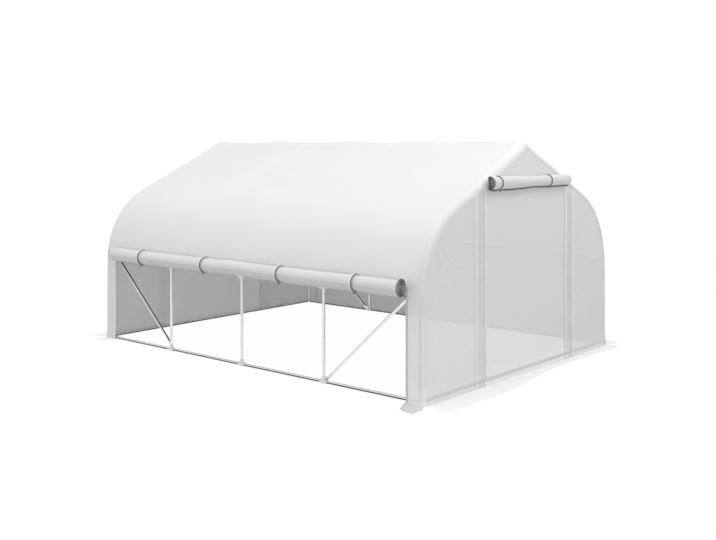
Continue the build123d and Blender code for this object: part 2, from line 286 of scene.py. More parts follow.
def polyester_webbing(tree, dark, light):
    """Woven polyester tape or cord: a twill of ribs 1.5 mm apart, soft and without gloss."""
    ribs = {"Vector": add(tree, "ShaderNodeTexCoord", None, "UV"), "Scale": wave_scale(0.0015)}
    twill = add(tree, "ShaderNodeTexWave", ribs, "Fac", bands_direction="DIAGONAL")
    body = add(tree, "ShaderNodeMix", {0: twill, 6: linear(dark), 7: linear(light)}, 2, data_type="RGBA")
    return bumpy_skin(tree, body, twill, 0.4, 0.0006, {"Roughness": 0.8})[0]


def moulded_acetal(tree, dark, light):
    """Moulded acetal: plastic with a satin skin and a fine spark-eroded grain of 0.8 mm."""
    place = add(tree, "ShaderNodeTexCoord", None, "Object")
    grain = add(tree, "ShaderNodeTexNoise", {"Vector": place, "Scale": 1 / 0.0008, "Detail": 2.0}, "Fac")
    body = add(tree, "ShaderNodeMix", {0: grain, 6: linear(dark), 7: linear(light)}, 2, data_type="RGBA")
    return bumpy_skin(tree, body, grain, 0.2, 0.0003, {"Roughness": 0.42, "IOR": 1.48})[0]


film = made_material("polyethylene_film", polyethylene_film, 0.915, 0.06)
door_film = made_material("thin_polyethylene_film", polyethylene_film, 0.27, 0.06)
ground_film = made_material("polyethylene_film_on_ground", polyethylene_film, 0.45, 0.05, "FBFBFB", "F4F4F4")
# This film also paints the darker shade lines of the cover's seam and of the gable's tie.
rolled_film_and_shade_lines = made_material("rolled_film_and_painted_shade_lines", polyethylene_film, 1.0, 0.03, "E6E6E6", "DADADA")
rolled_door_film = made_material("rolled_door_film", polyethylene_film, 1.0, 0.03, "E8E8E8", "DCDCDC")
welded_hem = made_material("welded_film_hem", polyethylene_film, 0.97, 0.05, "FEFEFE", "F8F8F8")
# A doubled edge, painted lighter than the film as a highlight.
edge_film = made_material("doubled_film_edge_with_painted_highlight", polyethylene_film, 0.93, 0.06, "F9F9F9", "F1F1F1")
# Painted shade: a darker hem, for a strip's edge that curls away from the light.
hem_in_painted_shade = made_material("film_hem_in_painted_shade", polyethylene_film, 1.0, 0.03, "D4D4D4", "CCCCCC")
creased_film = made_material("creased_film_on_ground", polyethylene_film, 0.97, 0.03, "DEDEDE", "D4D4D4")
# Roll ends are painted dark, as the shade trapped between the wound turns.
film_edges = made_material("wound_polyethylene_edges_in_painted_shade", wound_film_edges)
mesh_screen = made_material("insect_mesh", insect_mesh)
tube_zinc = made_material("galvanised_tube", galvanised_steel, "F2F2F2", "DEDEDE", 0.26)
# Side rails are painted darker all over, as shade: the front one lies under the rolled curtain.
shaded_rail_zinc = made_material("galvanised_rail_in_painted_shade", galvanised_steel, "B0B0B0", "949494", 0.34)
# Fittings and bolts are zinc plated and a little darker than the tubes, partly as painted shade for their
# shadowed sockets.
fitting_zinc = made_material("zinc_plated_fitting_with_painted_shade", galvanised_steel, "E4E4E4", "CACACA", 0.30)

# Painted shade darkens the lower half of a tube on the ground, and painted shade and dark reflection darken
# the upper side of a slanted one
base_painted_shade = ("Object", 0.021, 0.017)
brace_painted_shade = ("Normal", 0.46, 0.56)
# Base rails: the lower half is painted dark, as the shade under a tube lying on the ground.
base_zinc = made_material("galvanised_tube_with_painted_shade", galvanised_steel, "FFFFFF", "F0F0F0", 0.26, base_painted_shade)
# Braces: the upper side is painted dark, as shade and as the reflection of the dark inside of the tunnel.
brace_zinc = made_material("galvanised_brace_with_painted_shade", galvanised_steel, "FAFAFA", "ECECEC", 0.22, brace_painted_shade)
webbing = made_material("polyester_webbing", polyester_webbing, "E2E2E2", "F8F8F8")
# Dark cord: the cords beside the tapes, which also paint the shadow line there, and the painted shadow line
# under the door roll.
cord = made_material("dark_cord_and_painted_shadow_lines", polyester_webbing, "565656", "7C7C7C")
acetal = made_material("charcoal_acetal", moulded_acetal, "3A3A3A", "555555")
acetal_white = made_material("white_acetal", moulded_acetal, "E0E0E0", "F2F2F2")


# Meshes

def settle(made, stands_for=()):
    """A finished piece rides on the tunnel and stands for its CAD nodes."""
    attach(made, "root")
    if stands_for:
        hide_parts(*stands_for)
    return made


def piece_from(name, sheet, materials, stands_for=(), on_hem=None, smooth=True):
    """Makes a piece from a sheet's points, faces and flat places."""
    points, faces, uv = sheet
    mesh = bpy.data.meshes.new(name)
    mesh.from_pydata(points, [], faces)
    for material in materials:
        mesh.materials.append(material)
    layer = mesh.uv_layers.new(name="flat")
    for loop in mesh.loops:
        layer.data[loop.index].uv = uv[loop.vertex_index]
    for polygon in mesh.polygons:
        polygon.use_smooth = smooth
        if on_hem:
            polygon.material_index = on_hem(polygon.center)
    mesh.update()
    return settle(placed(name, mesh), stands_for)


def grid(columns, rows, place, flip=False, keep=None, sheet=None):
    """Quads over columns and rows, added to a sheet's points, faces and flat places.

    place(column, row) gives a point and its place on the flat sheet.
    """
    sheet = sheet or ([], [], [])
    points, faces, uv = sheet
    first = len(points)
    for column in columns:
        for row in rows:
            point, flat = place(column, row)
            points.append(point)
            uv.append(flat)
    deep = len(rows)
    for i in range(len(columns) - 1):
        for j in range(deep - 1):
            if keep and not keep(i, j):
                continue
            a = first + i * deep + j
            quad = (a, a + deep, a + deep + 1, a + 1)
            faces.append(quad[::-1] if flip else quad)
    return sheet


def spread(low, high, count, power=1.0):
    """Values from low to high, packed towards low where power is over 1."""
    return [low + (high - low) * (i / count) ** power for i in range(count + 1)]


def ramp(value, low, high):
    """0 below low, 1 above high and smooth between."""
    share = min(max((value - low) / (high - low), 0), 1)
    return share * share * (3 - 2 * share)


def bell(distance, width):
    """1 at no distance, and next to nothing past twice the width."""
    return exp(-((distance / width) ** 2))


def ripple(x, y, z, seed):
    """A smooth wandering value from about -1 to 1."""
    return noise.noise(Vector((x + seed * 7.3, y - seed * 3.1, z + seed * 1.7)))


# Geometry Nodes

def node_group(name, inputs):
    """A geometry tree with a geometry input and output, and these named inputs."""
    tree = bpy.data.node_groups.new(name, "GeometryNodeTree")
    tree.interface.new_socket("Geometry", in_out="INPUT", socket_type="NodeSocketGeometry")
    for label, kind in inputs:
        tree.interface.new_socket(label, in_out="INPUT", socket_type=kind)
    tree.interface.new_socket("Geometry", in_out="OUTPUT", socket_type="NodeSocketGeometry")
    return tree, add(tree, "NodeGroupInput").node.outputs


def painted_tree(tree, geometry, material):
    """Ends a geometry tree: copies are made real, and all is painted."""
    solid = add(tree, "GeometryNodeRealizeInstances", {"Geometry": geometry})
    painted = add(tree, "GeometryNodeSetMaterial", {"Geometry": solid, "Material": material})
    add(tree, "NodeGroupOutput", {"Geometry": painted})
    return tree


def tube_tree():
    """Round tube of a named radius along every line of a mesh."""
    tree, given = node_group("tube_along_lines", [
        ("Radius", "NodeSocketFloat"), ("Sides", "NodeSocketInt"), ("Material", "NodeSocketMaterial"),
    ])
    lines = add(tree, "GeometryNodeMeshToCurve", {"Mesh": given["Geometry"]})
    size = {"Resolution": given["Sides"], "Radius": given["Radius"]}
    ring = add(tree, "GeometryNodeCurvePrimitiveCircle", size)
    tube = add(tree, "GeometryNodeCurveToMesh", {"Curve": lines, "Profile Curve": ring, "Fill Caps": True})
    return painted_tree(tree, tube, given["Material"])


def copies_tree():
    """A copy of a small part on every point, with its Z axis along the point's aim."""
    tree, given = node_group("copies_on_points", [
        ("Part", "NodeSocketObject"), ("Material", "NodeSocketMaterial"),
    ])
    source = {"Object": given["Part"]}
    part = add(tree, "GeometryNodeObjectInfo", source, "Geometry", transform_space="ORIGINAL")
    aim = add(tree, "GeometryNodeInputNamedAttribute", {"Name": "aim"}, data_type="FLOAT_VECTOR")
    turn = add(tree, "FunctionNodeAlignRotationToVector", {"Vector": aim}, axis="Z")
    spots = {"Points": given["Geometry"], "Instance": part, "Rotation": turn}
    return painted_tree(tree, add(tree, "GeometryNodeInstanceOnPoints", spots), given["Material"])


def grown(name, source, tree, values):
    """Runs a geometry tree on a mesh and returns the result as a plain object."""
    carrier = placed(name + "_source", source)
    modifier = carrier.modifiers.new("grow", "NODES")
    modifier.node_group = tree
    for item in tree.interface.items_tree:
        if item.in_out == "INPUT" and item.name in values:
            modifier[item.identifier] = values[item.name]
    graph = bpy.context.evaluated_depsgraph_get()
    mesh = bpy.data.meshes.new_from_object(carrier.evaluated_get(graph), depsgraph=graph)
    carrier.modifiers.remove(modifier)
    bpy.data.objects.remove(carrier)
    return placed(name, mesh)


TUBES = tube_tree()
COPIES = copies_tree()


def tubes(name, paths, radius, material, stands_for=()):
    """Round tubes along paths of points."""
    source = bpy.data.meshes.new(name + "_lines")
    points = []
    edges = []
    for path in paths:
        edges += [(len(points) + i, len(points) + i + 1) for i in range(len(path) - 1)]
        points += path
    source.from_pydata(points, edges, [])
    made = grown(name, source, TUBES, {"Radius": radius, "Sides": 20, "Material": material})
    for polygon in made.data.polygons:
        polygon.use_smooth = len(polygon.vertices) == 4
    settle(made, stands_for)


def copies(name, part, places, material):
    """Copies of a small part at places, each a point and the way the part faces."""
    source = bpy.data.meshes.new(name + "_points")
    source.from_pydata([place for place, _ in places], [], [])
    aim = source.attributes.new("aim", "FLOAT_VECTOR", "POINT")
    for index, (_, direction) in enumerate(places):
        aim.data[index].vector = direction
    settle(grown(name, source, COPIES, {"Part": part, "Material": material}))


def turned_part(name, profile, sides):
    """A small part turned about Z from a profile of radius and height."""
    points = []
    faces = []
    for radius, height in profile:
        turns = [2 * pi * k / sides for k in range(sides)]
        points += [(radius * cos(turn), radius * sin(turn), height) for turn in turns]
    for i in range(len(profile) - 1):
        for k in range(sides):
            a = i * sides + k
            b = i * sides + (k + 1) % sides
            faces.append((a, b, b + sides, a + sides))
    faces.append(tuple(range(sides))[::-1])
    faces.append(tuple(range(len(points) - sides, len(points))))
    mesh = bpy.data.meshes.new(name)
    mesh.from_pydata(points, [], faces)
    return bpy.data.objects.new(name, mesh)


# Shape of the cover

def cover_yz(run, off, side):
    """Point on the cover, that far down from the ridge and that far outside the centreline."""
    reach = bow_radius + off
    if run <= rafter_length:
        share = run / rafter_length
        top = ridge_z + off / cos(pitch)
        y = share * (bend_y + reach * sin(pitch))
        z = top + share * (bend_z + reach * cos(pitch) - top)
    elif run <= rafter_length + bend_length:
        turn = pitch + (run - rafter_length) / bow_radius
        y = bend_y + reach * sin(turn)
        z = bend_z + reach * cos(turn)
    else:
        y = leg_y + off
        z = bend_z - (run - rafter_length - bend_length)
    return side * y, z


def arch_z(y):
    """Height of the hoop's centreline above a point across the tunnel."""
    y = abs(y)
    if y <= bend_y + bow_radius * sin(pitch):
        return ridge_z - y * tan(pitch)
    return bend_z + sqrt(max(bow_radius**2 - (y - bend_y) ** 2, 0))


def foot_flare(z):
    """How far the cover's foot is spread at a height: 1 on the ground, 0 above the flare."""
    return max(0, 1 - z / flare_height) ** 2


def settled(x, y, z):
    """The cover's foot spreads over the ground, and at the right end it is drawn to the open side."""
    low = foot_flare(z) * ramp(abs(x), *flare_xs)
    z = max(z, film_gap)
    if x > 0:
        return (x + right_flare[0] * low, y - right_flare[1] * low, z)
    outward = (BACK if y > 0 else FRONT) * ramp(abs(y), *flare_ys)
    return (x - left_flare[0] * low, y + left_flare[1] * low * outward, z)


def tented_off(run):
    """Distance of the cover from the centreline at a hoop. It tents over the fittings at the ridge."""
    return cover_off + ridge_tent * bell(run, ridge_tent_run)


def sagged(x, run, side):
    """Distance of the roof sheet from the centreline: it hangs between the hoops, most at the ridge."""
    if abs(x) >= end_x:
        return tented_off(run) - edge_sink * (abs(x) - end_x) / edge_sink_reach
    share = ((x - hoop_xs[0]) / bay) % 1
    slack = 1 - (2 * share - 1) ** 2
    depth = bay_sag + ridge_sag * bell(run, ridge_sag_run)
    fade = 1 - ramp(run, header_run - sag_fade_run, header_run)
    crease = roof_crease * ripple(x * 2.2, run * 5.0, side, 2) * slack
    return tented_off(run) - (depth * slack + crease) * fade


def edge_stations(end):
    """Lines of the cover from its lap on a gable to the roof: steps of the lap, then of the round nose."""
    lap = [(end, "lap", k / 3) for k in range(3, 0, -1)]
    nose = [(end, "nose", radians(degrees)) for degrees in range(90, 0, -18)]
    return lap + nose


def edge_radius(end, side, height):
    """Radius of the cover's edge: sharp low down, round above, and drawn tighter over the back slope."""
    nose = nose_radius[end]
    if side == BACK:
        nose -= 0.5 * nose * ramp(ridge_z - height, 0, back_nose_drop)
    return foot_radius + (nose - foot_radius) * ramp(height, *nose_heights)


def edge_place(station, run, side):
    """Place along the ridge and distance from the centreline of a line of the cover's edge."""
    end, kind, value = station
    edge = cover_edge[end]
    radius = edge_radius(end, side, cover_yz(run, cover_off, side)[1])
    off = tented_off(run) - edge_sink
    if kind == "lap":
        return end * (edge + film_gap), off - radius - edge_lap * value
    return end * (edge - radius * (1 - sin(value))), off - radius * (1 - cos(value))


def cover_stations():
    """All lines along the cover, from the left gable's lap to the right gable's."""
    xs = spread(foot_radius - cover_edge[LEFT], hoop_xs[0], 2)[:-1]
    xs += spread(hoop_xs[0], hoop_xs[-1], 96)
    xs += spread(hoop_xs[-1], cover_edge[RIGHT] - foot_radius, 2)[1:]
    for line in opening_hem_lines:
        xs += [-opening_half - line, opening_half + line]
    xs += [edge_hem - cover_edge[LEFT], cover_edge[RIGHT] - edge_hem, *seam_shade_xs]
    middle = [(x, "roof", 0) for x in sorted(round(x, 5) for x in xs)]
    return edge_stations(LEFT) + middle + edge_stations(RIGHT)[::-1]


def drawn_in(x, run, side):
    """Lines past an end hoop close up where the cover's edge is rounder."""
    if abs(x) <= end_x:
        return x
    end = RIGHT if x > 0 else LEFT
    wide = cover_edge[end] - foot_radius - end_x
    free = cover_edge[end] - edge_radius(end, side, cover_yz(run, cover_off, side)[1]) - end_x
    return end * (end_x + (abs(x) - end_x) * free / wide)


def make_cover():
    """Roof, shoulders and the strips beside the side openings: one sheet with the openings cut out."""
    stations = cover_stations()
    sheet = ([], [], [])
    roof_runs = spread(0, 0.12, 6, 1.5) + spread(0.16, header_run, 52)
    strip_runs = spread(header_run, half_girth, 30)[1:]
    for side in (FRONT, BACK):
        def place(station, run):
            x, kind, _ = station
            if kind == "roof":
                off = sagged(x, run, side)
                x = drawn_in(x, run, side)
            else:
                x, off = edge_place(station, run, side)
            return settled(x, *cover_yz(run, off, side)), (x, side * run)

        def keep(i, j):
            if j < len(roof_runs) - 1:
                return True
            on_roof = [abs(x) for x, kind, _ in stations[i:i + 2] if kind == "roof"]
            return not on_roof or min(on_roof) >= opening_half - 1e-4

        grid(stations, roof_runs + strip_runs, place, side == BACK, keep, sheet)

    def on_hem(centre):
        """The doubled edge over a gable, which is painted lighter as a highlight above a height; and the
        seam over the right corner leg, which is painted darker as shade.
        """
        if centre.z < rail_z:
            return 2 if seam_shade_xs[0] < centre.x - right_flare[0] * foot_flare(centre.z) < seam_shade_xs[1] else 0
        edge = cover_edge[RIGHT if centre.x > 0 else LEFT]
        return 1 if abs(centre.x) > edge - edge_hem and centre.z > edge_highlight_z else 0

    made = piece_from(
        "cover_sheet", sheet, [film, edge_film, rolled_film_and_shade_lines],
        ("front_roof_sheet", "back_roof_sheet", "front_wall_strips", "back_wall_strips"), on_hem,
    )


def make_strip_hem(end, side):
    """Folded hem along the edge of a strip, beside a side opening. The right ones are painted darker, as the
    shade of an edge that curls away from the light.
    """
    def place(column, run):
        x = end * (opening_half + strip_hem_width * column)
        return settled(x, *cover_yz(run, cover_off + film_gap, side)), (x, run)

    flip = (end == RIGHT) != (side == FRONT)
    sheet = grid(spread(0, 1, 3), spread(header_run, half_girth, 40), place, flip)
    name = f"strip_hem_{END_NAMES[end]}_{SIDE_NAMES[side]}"
    made = piece_from(name, sheet, [hem_in_painted_shade if end == RIGHT else welded_hem])


# Gables

def crease_marks(end):
    """Short creases in a gable, beside its door: place, direction, half length and depth."""
    chance = random.Random(40 + end)
    marks = [
        (-1.315, 1.07, -0.5), (-1.15, 1.06, -0.5), (-1.07, 1.02, -0.4), (-1.25, 1.17, -0.6),
        (-1.18, 0.88, 0.3), (-0.83, 0.91, -0.8), (1.17, 0.85, 0.4), (1.25, 1.13, -0.9), (1.125, 0.29, 1.2),
    ]
    for _ in range(26):
        y = chance.choice((FRONT, FRONT, BACK)) * chance.uniform(0.86, 1.40)
        marks.append((y, chance.uniform(0.18, 1.30), chance.uniform(-1.2, 1.2)))
    return [(y, z, turn, chance.uniform(0.02, 0.05), chance.uniform(0.0032, 0.0064)) for y, z, turn in marks]


CREASES = {end: crease_marks(end) for end in (LEFT, RIGHT)}


def below_hoop(y, z):
    """Distance of a point in a gable from the hoop's centreline, inwards."""
    if z < bend_z:
        return leg_y - abs(y)
    if abs(y) < bend_y + (z - bend_z) * tan(pitch):
        return (arch_z(y) - z) * cos(pitch)
    return bow_radius - sqrt((abs(y) - bend_y) ** 2 + (z - bend_z) ** 2)


def gable_plane(end, y, z):
    """Place of a gable's sheet along the ridge: upright, and drawn in under the cover's round edge."""
    plane = cover_edge[end] - gable_gap
    radius = edge_radius(end, BACK if y > 0 else FRONT, z)
    rise = radius - cover_off + edge_sink - below_hoop(y, z)
    if rise <= 0:
        return plane
    return plane - radius + sqrt(max(radius**2 - rise**2, 0)) - film_gap * ramp(rise, 0, edge_lap)


def gable_point(end, y, z, lift):
    """Point on a gable's sheet, with the slack, packing fold and creases of film that only its edges hold.

    What lies in front of the sheet tucks in under the cover's edge, and all is drawn in where it is tied.
    """
    free = ramp(arch_z(y) - z, 0, held_margin) * ramp(leg_y - abs(y), 0, held_margin)
    slack = gable_slack * (1 + 0.6 * ripple(y * 1.1, z * 0.8, end, 1))
    packed = bell(z - fold_z + fold_slope * y, fold_width) * ramp(fold_reach - abs(y), 0, fold_fade)
    folds = gable_waves * ripple(y * 4.2 + z * 1.6, z * 1.1, end, 4) + fold_depth * packed
    for mark_y, mark_z, turn, half_length, depth in CREASES[end]:
        along = (y - mark_y) * cos(turn) + (z - mark_z) * sin(turn)
        across = (z - mark_z) * cos(turn) - (y - mark_y) * sin(turn) + 4.0 * along * along
        if abs(across) < crease_limit:
            folds += depth * bell(across, crease_width) * bell(along, half_length)
    tucked = lift * ramp(below_hoop(y, z), *tuck_depths)
    tie = tie_depth[end] * bell(z - tie_z, tie_width) * ramp(leg_y - abs(y), 0, tie_margin)
    return settled(end * (gable_plane(end, y, z) + tucked + free * (slack + folds) - tie), y, z)


def gable_sheet(
    name, end, columns, stands_for=(), material=film, lift=0, low=0, high=tunnel_height
):
    """Upright sheet in a gable, between two heights and under the arch. Its rows are closer at a foot."""
    foot = foot_rise if low == 0 else 0
    rows = [(foot, share) for share in spread(0, 1, 180)]
    if foot:
        rows = [(rise, 0) for rise in spread(0, foot, 15)[:-1]] + rows

    def place(y, row):
        start, share = row
        z = low + start + (min(arch_z(y), high) - low - start) * share
        return gable_point(end, y, z, lift), (y, z)

    def on_hem(centre):
        """The line where the right gable's own sheets are tied to the base rail, painted darker as the
        rail's shadow on the film.
        """
        return 1 if end == RIGHT and lift == 0 and abs(centre.z - tie_z) < tie_shadow_half else 0

    sheet = grid(columns, rows, place, end == LEFT)
    made = piece_from(name, sheet, [material, rolled_film_and_shade_lines], stands_for, on_hem)
    heights = [point[2] for point in sheet[0]]


def make_gable(end):
    """One gable: sheet beside and over the door, the mesh screen, and the bands with their welded hems."""
    where = END_NAMES[end]
    beside = spread(leg_y, door_half, 110)
    for side, columns in ((FRONT, [-y for y in beside]), (BACK, beside[::-1])):
        part = f"{where}_gable_{SIDE_NAMES[side]}"
        gable_sheet(f"{part}_sheet", end, columns, (f"{part}_panel",))
    across = spread(-door_half, door_half, 60)
    gable_sheet(f"{where}_gable_top_sheet", end, across, (f"{where}_gable_top_panel",), low=door_top)
    door = f"{where}_door"
    screen = (f"{door}_screen",)
    gable_sheet(f"{door}_mesh", end, across, screen, mesh_screen, high=door_top)
    for side, side_name in SIDE_NAMES.items():
        columns = spread(*sorted((side * door_half, side * (door_half + band_width))), 8)
        gable_sheet(f"{door}_band_{side_name}", end, columns, (f"{door}_bands",), door_film, band_lift)
        for edge_name, middle in (("inner", door_half + hem_width / 2), ("outer", door_half + band_width)):
            middle = side * middle + hem_shift[end]
            columns = spread(middle - hem_width / 2, middle + hem_width / 2, 2)
            hem = welded_hem if end == RIGHT else door_film
            gable_sheet(f"{door}_hem_{side_name}_{edge_name}", end, columns, (), hem, hem_lift)
    if end == LEFT:
        columns = spread(-panel_half, panel_half, 64)
        panel = ("left_door_panel",)
        gable_sheet("left_door_sheet", end, columns, panel, door_film, panel_lift, high=door_top + panel_lap)


# Flaps on the ground

def make_gable_flap(end):
    """Foot of a gable's sheet, turned out on the ground in ripples. The right one narrows to the back."""
    where = END_NAMES[end]

    def place(y, row):
        inner, foot_y, _ = gable_point(end, y, 0, 0)
        inner = abs(inner) - 0.002
        outer = flap_reach[end] + 0.007 * ripple(y * 5, 0, end, 8)
        if end == RIGHT:
            outer += flap_tail * ramp(y, *flap_tail_ys) - flap_waist * ramp(y, *flap_waist_ys)
        x = inner + (outer - inner) * row
        swell = flap_swell * (0.5 + 0.5 * ripple(y * 3.4, row * 1.2, end, 9)) * sin(pi * min(row * 1.05, 1))
        folds = flap_fold * bell(abs(y) - door_half - 0.05, 0.045) * (1 - row)
        return (end * x, foot_y + 0.045 * y * row, film_gap + swell + folds), (y, row * 0.2)

    columns = spread(-leg_y - 0.012, leg_y + 0.012, 120)
    sheet = grid(columns, spread(0, 1, 12), place, end == LEFT)
    made = piece_from(f"{where}_gable_flap", sheet, [ground_film], (f"{where}_gable_skirt",))


def make_corner_flap(end, side):
    """Foot of a corner strip, turned out on the ground. The right ones lean outwards."""
    def place(column, row):
        start = opening_half + (cover_edge[end] - opening_half) * column
        x, y, _ = settled(end * start, side * (leg_y + cover_off), 0)
        x, y = abs(x), abs(y)
        out = corner_reach + 0.03 * sin(pi * column) + 0.01 * ripple(column * 3, end, side, 3)
        if end == RIGHT:
            x += (0.088 + 0.030 * column - 0.070 * ramp(column, 0.6, 1)) * row
            out += 0.070 - 0.090 * ramp(column, 0.6, 1)
        y += out * row
        swell = corner_swell * (0.5 + 0.5 * ripple(column * 4, row * 2, end + 2 * side, 5)) * sin(pi * row)
        return (end * x, side * y, film_gap + swell), (column * 0.2, row * 0.22)

    flip = (end == RIGHT) != (side == FRONT)
    sheet = grid(spread(0, 1, 14), spread(0, 1, 14), place, flip)
    cloth = creased_film if (end, side) == (RIGHT, FRONT) else ground_film
    name = f"corner_flap_{END_NAMES[end]}_{SIDE_NAMES[side]}"
    made = piece_from(name, sheet, [cloth], ("corner_skirts",))


# Rolls

def roll_point(roll, distance, angle, reach):
    """Point on a roll. The angle runs from behind it, under it and up its front. Its back is flat."""
    across = -reach * cos(angle)
    if across < 0:
        across = -roll.back * tanh(-across / roll.back)
    height = roll.rise(distance) - reach * sin(angle)
    return roll.middle + roll.along * distance + roll.out * across + UP * height


def roll_reach(roll, distance, angle, share):
    """Distance of the wound sheet from the roll's axis, from its outside (share 0) to its core (share 1)."""
    necks = min(sum(bell(distance - strap, neck_width) for strap in roll.straps), 1)
    grooves = [strap + roll.cord_side * groove_gap for strap in roll.straps]
    creases = min(sum(bell(distance - groove, groove_width) for groove in grooves), 1)
    swell = roll.swell(distance) - 0.05 * necks - 0.13 * creases
    swell += 0.020 * ripple(distance * 2.6, share, 0, 3) * (1 - necks)
    for turn, depth in roll.folds:
        wander = 0.14 * ripple(distance * 1.7, turn, 0, 6)
        fade = 0.6 + 0.4 * ripple(distance * 2.3, 0, turn, 7)
        swell -= depth * fade * bell(angle - turn - wander, 0.065)
    return (roll.radius + (roll.core - roll.radius) * share) * swell


def faces_inwards(roll):
    """Whether quads over a roll's length and its turns point into it until they are flipped."""
    return roll.along.cross(UP).dot(roll.out) > 0


def make_rolled_sheet(name, roll, stands_for):
    """A sheet wound up on itself: it comes down behind the roll, turns under it and winds inwards."""
    turns = roll.wound / (pi * (roll.radius + roll.core))
    angles = spread(0, 1.8, 24) + spread(1.8, 4.2, 100)[1:] + spread(4.2, 2 * pi, 30)[1:]
    angles += spread(2 * pi, 2 * pi * turns, int((turns - 1) * 36))[1:]
    rows = list(range(-len(roll.lead), 0)) + angles

    def place(distance, row):
        if row < 0:
            return roll.lead[row] + roll.along * distance, (distance, 0.02 * row)
        share = row / angles[-1]
        reach = roll_reach(roll, distance, row, share)
        return roll_point(roll, distance, row, reach), (distance, share * roll.wound)

    def on_hem(centre):
        distance = (centre - roll.middle).dot(roll.along)
        return 1 if abs(distance - roll.hem_end) < roll_hem_half else 0

    low, high = roll.ends
    columns = spread(low, high, int((high - low) * 42))
    for strap in roll.straps:
        columns += [strap + k * 0.004 for k in range(-9, 13)]
    for line in roll_end_lines:
        columns += [low + line, high - line]
    sheet = grid(sorted(columns), rows, place, faces_inwards(roll))
    made = piece_from(name, sheet, [roll.film, welded_hem], stands_for, on_hem)


def make_roll_ends(name, roll):
    """The wound edges at both ends of a roll: a spiral of ridges just inside its last turn."""
    sheet = ([], [], [])
    inset, rim_gap, ridge, proud = 0.005, 0.0025, 0.011, 0.0007
    bore = roll.bore
    for end, tip in zip((-1, 1), roll.ends):
        distance = tip - end * inset
        rim = roll_reach(roll, distance, pi, 0) - rim_gap

        def place(angle, share):
            reach = bore + (rim - bore) * share
            wave = reach / ridge - angle / (2 * pi)
            point = roll_point(roll, distance + end * proud * sin(2 * pi * wave), angle, reach)
            return point, (ridge * wave, angle)

        flip = faces_inwards(roll) == (end > 0)
        grid(spread(0, 2 * pi, 64), spread(0, 1, 44), place, flip, None, sheet)
    piece_from(name, sheet, [film_edges])


def ribbon(name, loops, along, stands_for):
    """Flat tapes along loops of points, each with the way out of the tape."""
    points, faces, uv = [], [], []
    for path in loops:
        first = len(points)
        travelled = 0
        for index, (point, outward) in enumerate(path):
            if index:
                travelled += (point - path[index - 1][0]).length
            for side_share, out_share in ((-0.5, 0), (0.5, 0), (0.5, 1), (-0.5, 1)):
                aside = strap_width * side_share
                points.append(point + along * aside + outward * (strap_thickness * out_share))
                uv.append((travelled, aside))
        for i in range(len(path) - 1):
            for j in range(4):
                a = first + 4 * i + j
                b = first + 4 * i + (j + 1) % 4
                faces.append((a, b, b + 4, a + 4))
        last = first + 4 * (len(path) - 1)
        faces.append((first + 3, first + 2, first + 1, first))
        faces.append((last, last + 1, last + 2, last + 3))
    piece_from(name, (points, faces, uv), [webbing], stands_for, None, False)


def strap_loop(roll, strap):
    """A strap once round a roll: from behind it, over the top, down the front, under it and up behind it."""
    reach = roll.radius * (roll.swell(strap) - 0.045)
    path = []
    for degrees in range(352, -1, -8):
        angle = radians(degrees)
        normal = (-roll.out * cos(angle) - UP * sin(angle)).normalized()
        path.append((roll_point(roll, strap, angle, reach), normal))
    return path


def make_roll_with_straps(prefix, roll, roll_nodes, strap_node):
    """A rolled sheet, its ends and its tapes, with a cord and a toggle beside each tape. The dark cord also
    paints the shadow line beside its tape.
    """
    make_rolled_sheet(f"{prefix}_rolled_sheet", roll, roll_nodes)
    make_roll_ends(f"{prefix}_roll_ends", roll)
    loops = [strap_loop(roll, strap) for strap in roll.straps]
    ribbon(f"{prefix}_straps", loops, roll.along, (strap_node,))
    toggles = []
    cords = []
    for strap in roll.straps:
        beside = strap + roll.cord_side * cord_gap
        reach = roll.radius * (roll.swell(strap) - 0.075) + cord_radius
        cords.append([roll_point(roll, beside, radians(degrees), reach) for degrees in range(28, 281, 7)])
        toggles.append((roll_point(roll, beside, radians(112), reach + 0.012), roll.along))
    tubes(f"{prefix}_cords", cords, cord_radius, cord)
    copies(f"{prefix}_toggles", toggle, toggles, acetal)


# Frame tubes

def hoop_half(x, side):
    """Centreline of half a hoop, from its foot to the ridge."""
    runs = [half_girth - base_z, *spread(rafter_length + bend_length, rafter_length, 22), 0.0]
    return [(x, *cover_yz(run, 0.0, side)) for run in runs]


def bay_paths(y, z):
    """Lines between the fittings of neighbouring hoops."""
    return [[(a + fitting_reach, y, z), (b - fitting_reach, y, z)] for a, b in zip(hoop_xs, hoop_xs[1:])]


def frame_tube(node, paths, zinc):
    """Round tubes that stand for a node of the frame."""
    tubes(f"{node}_tube", paths, tube_radius, zinc, (node,))


for hoop_name, hoop_x in zip(HOOPS, hoop_xs):
    frame_tube(hoop_name, [hoop_half(hoop_x, side) for side in (FRONT, BACK)], tube_zinc)
frame_tube("ridge_purlin", bay_paths(0, purlin_z), tube_zinc)
for side, side_name in SIDE_NAMES.items():
    frame_tube(f"{side_name}_side_rail", bay_paths(side * leg_y, rail_z), shaded_rail_zinc)
    frame_tube(f"{side_name}_base_rail", bay_paths(side * leg_y, base_z), base_zinc)
rail_end = leg_y - fitting_reach
for end, where in END_NAMES.items():
    path = [(end * end_x, -rail_end, base_z), (end * end_x, rail_end, base_z)]
    frame_tube(f"{where}_base_rail", [path], base_zinc)
for ending, finish in (("_fittings", fitting_zinc), ("_braces", brace_zinc), ("_bar", tube_zinc)):
    for node_name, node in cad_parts.items():
        if node_name.endswith(ending):
            for material_slot in node.material_slots:
                material_slot.material = finish

# Cover, gables and flaps
make_cover()
for end in (LEFT, RIGHT):
    make_gable(end)
    make_gable_flap(end)
    for side in (FRONT, BACK):
        make_corner_flap(end, side)
        make_strip_hem(end, side)

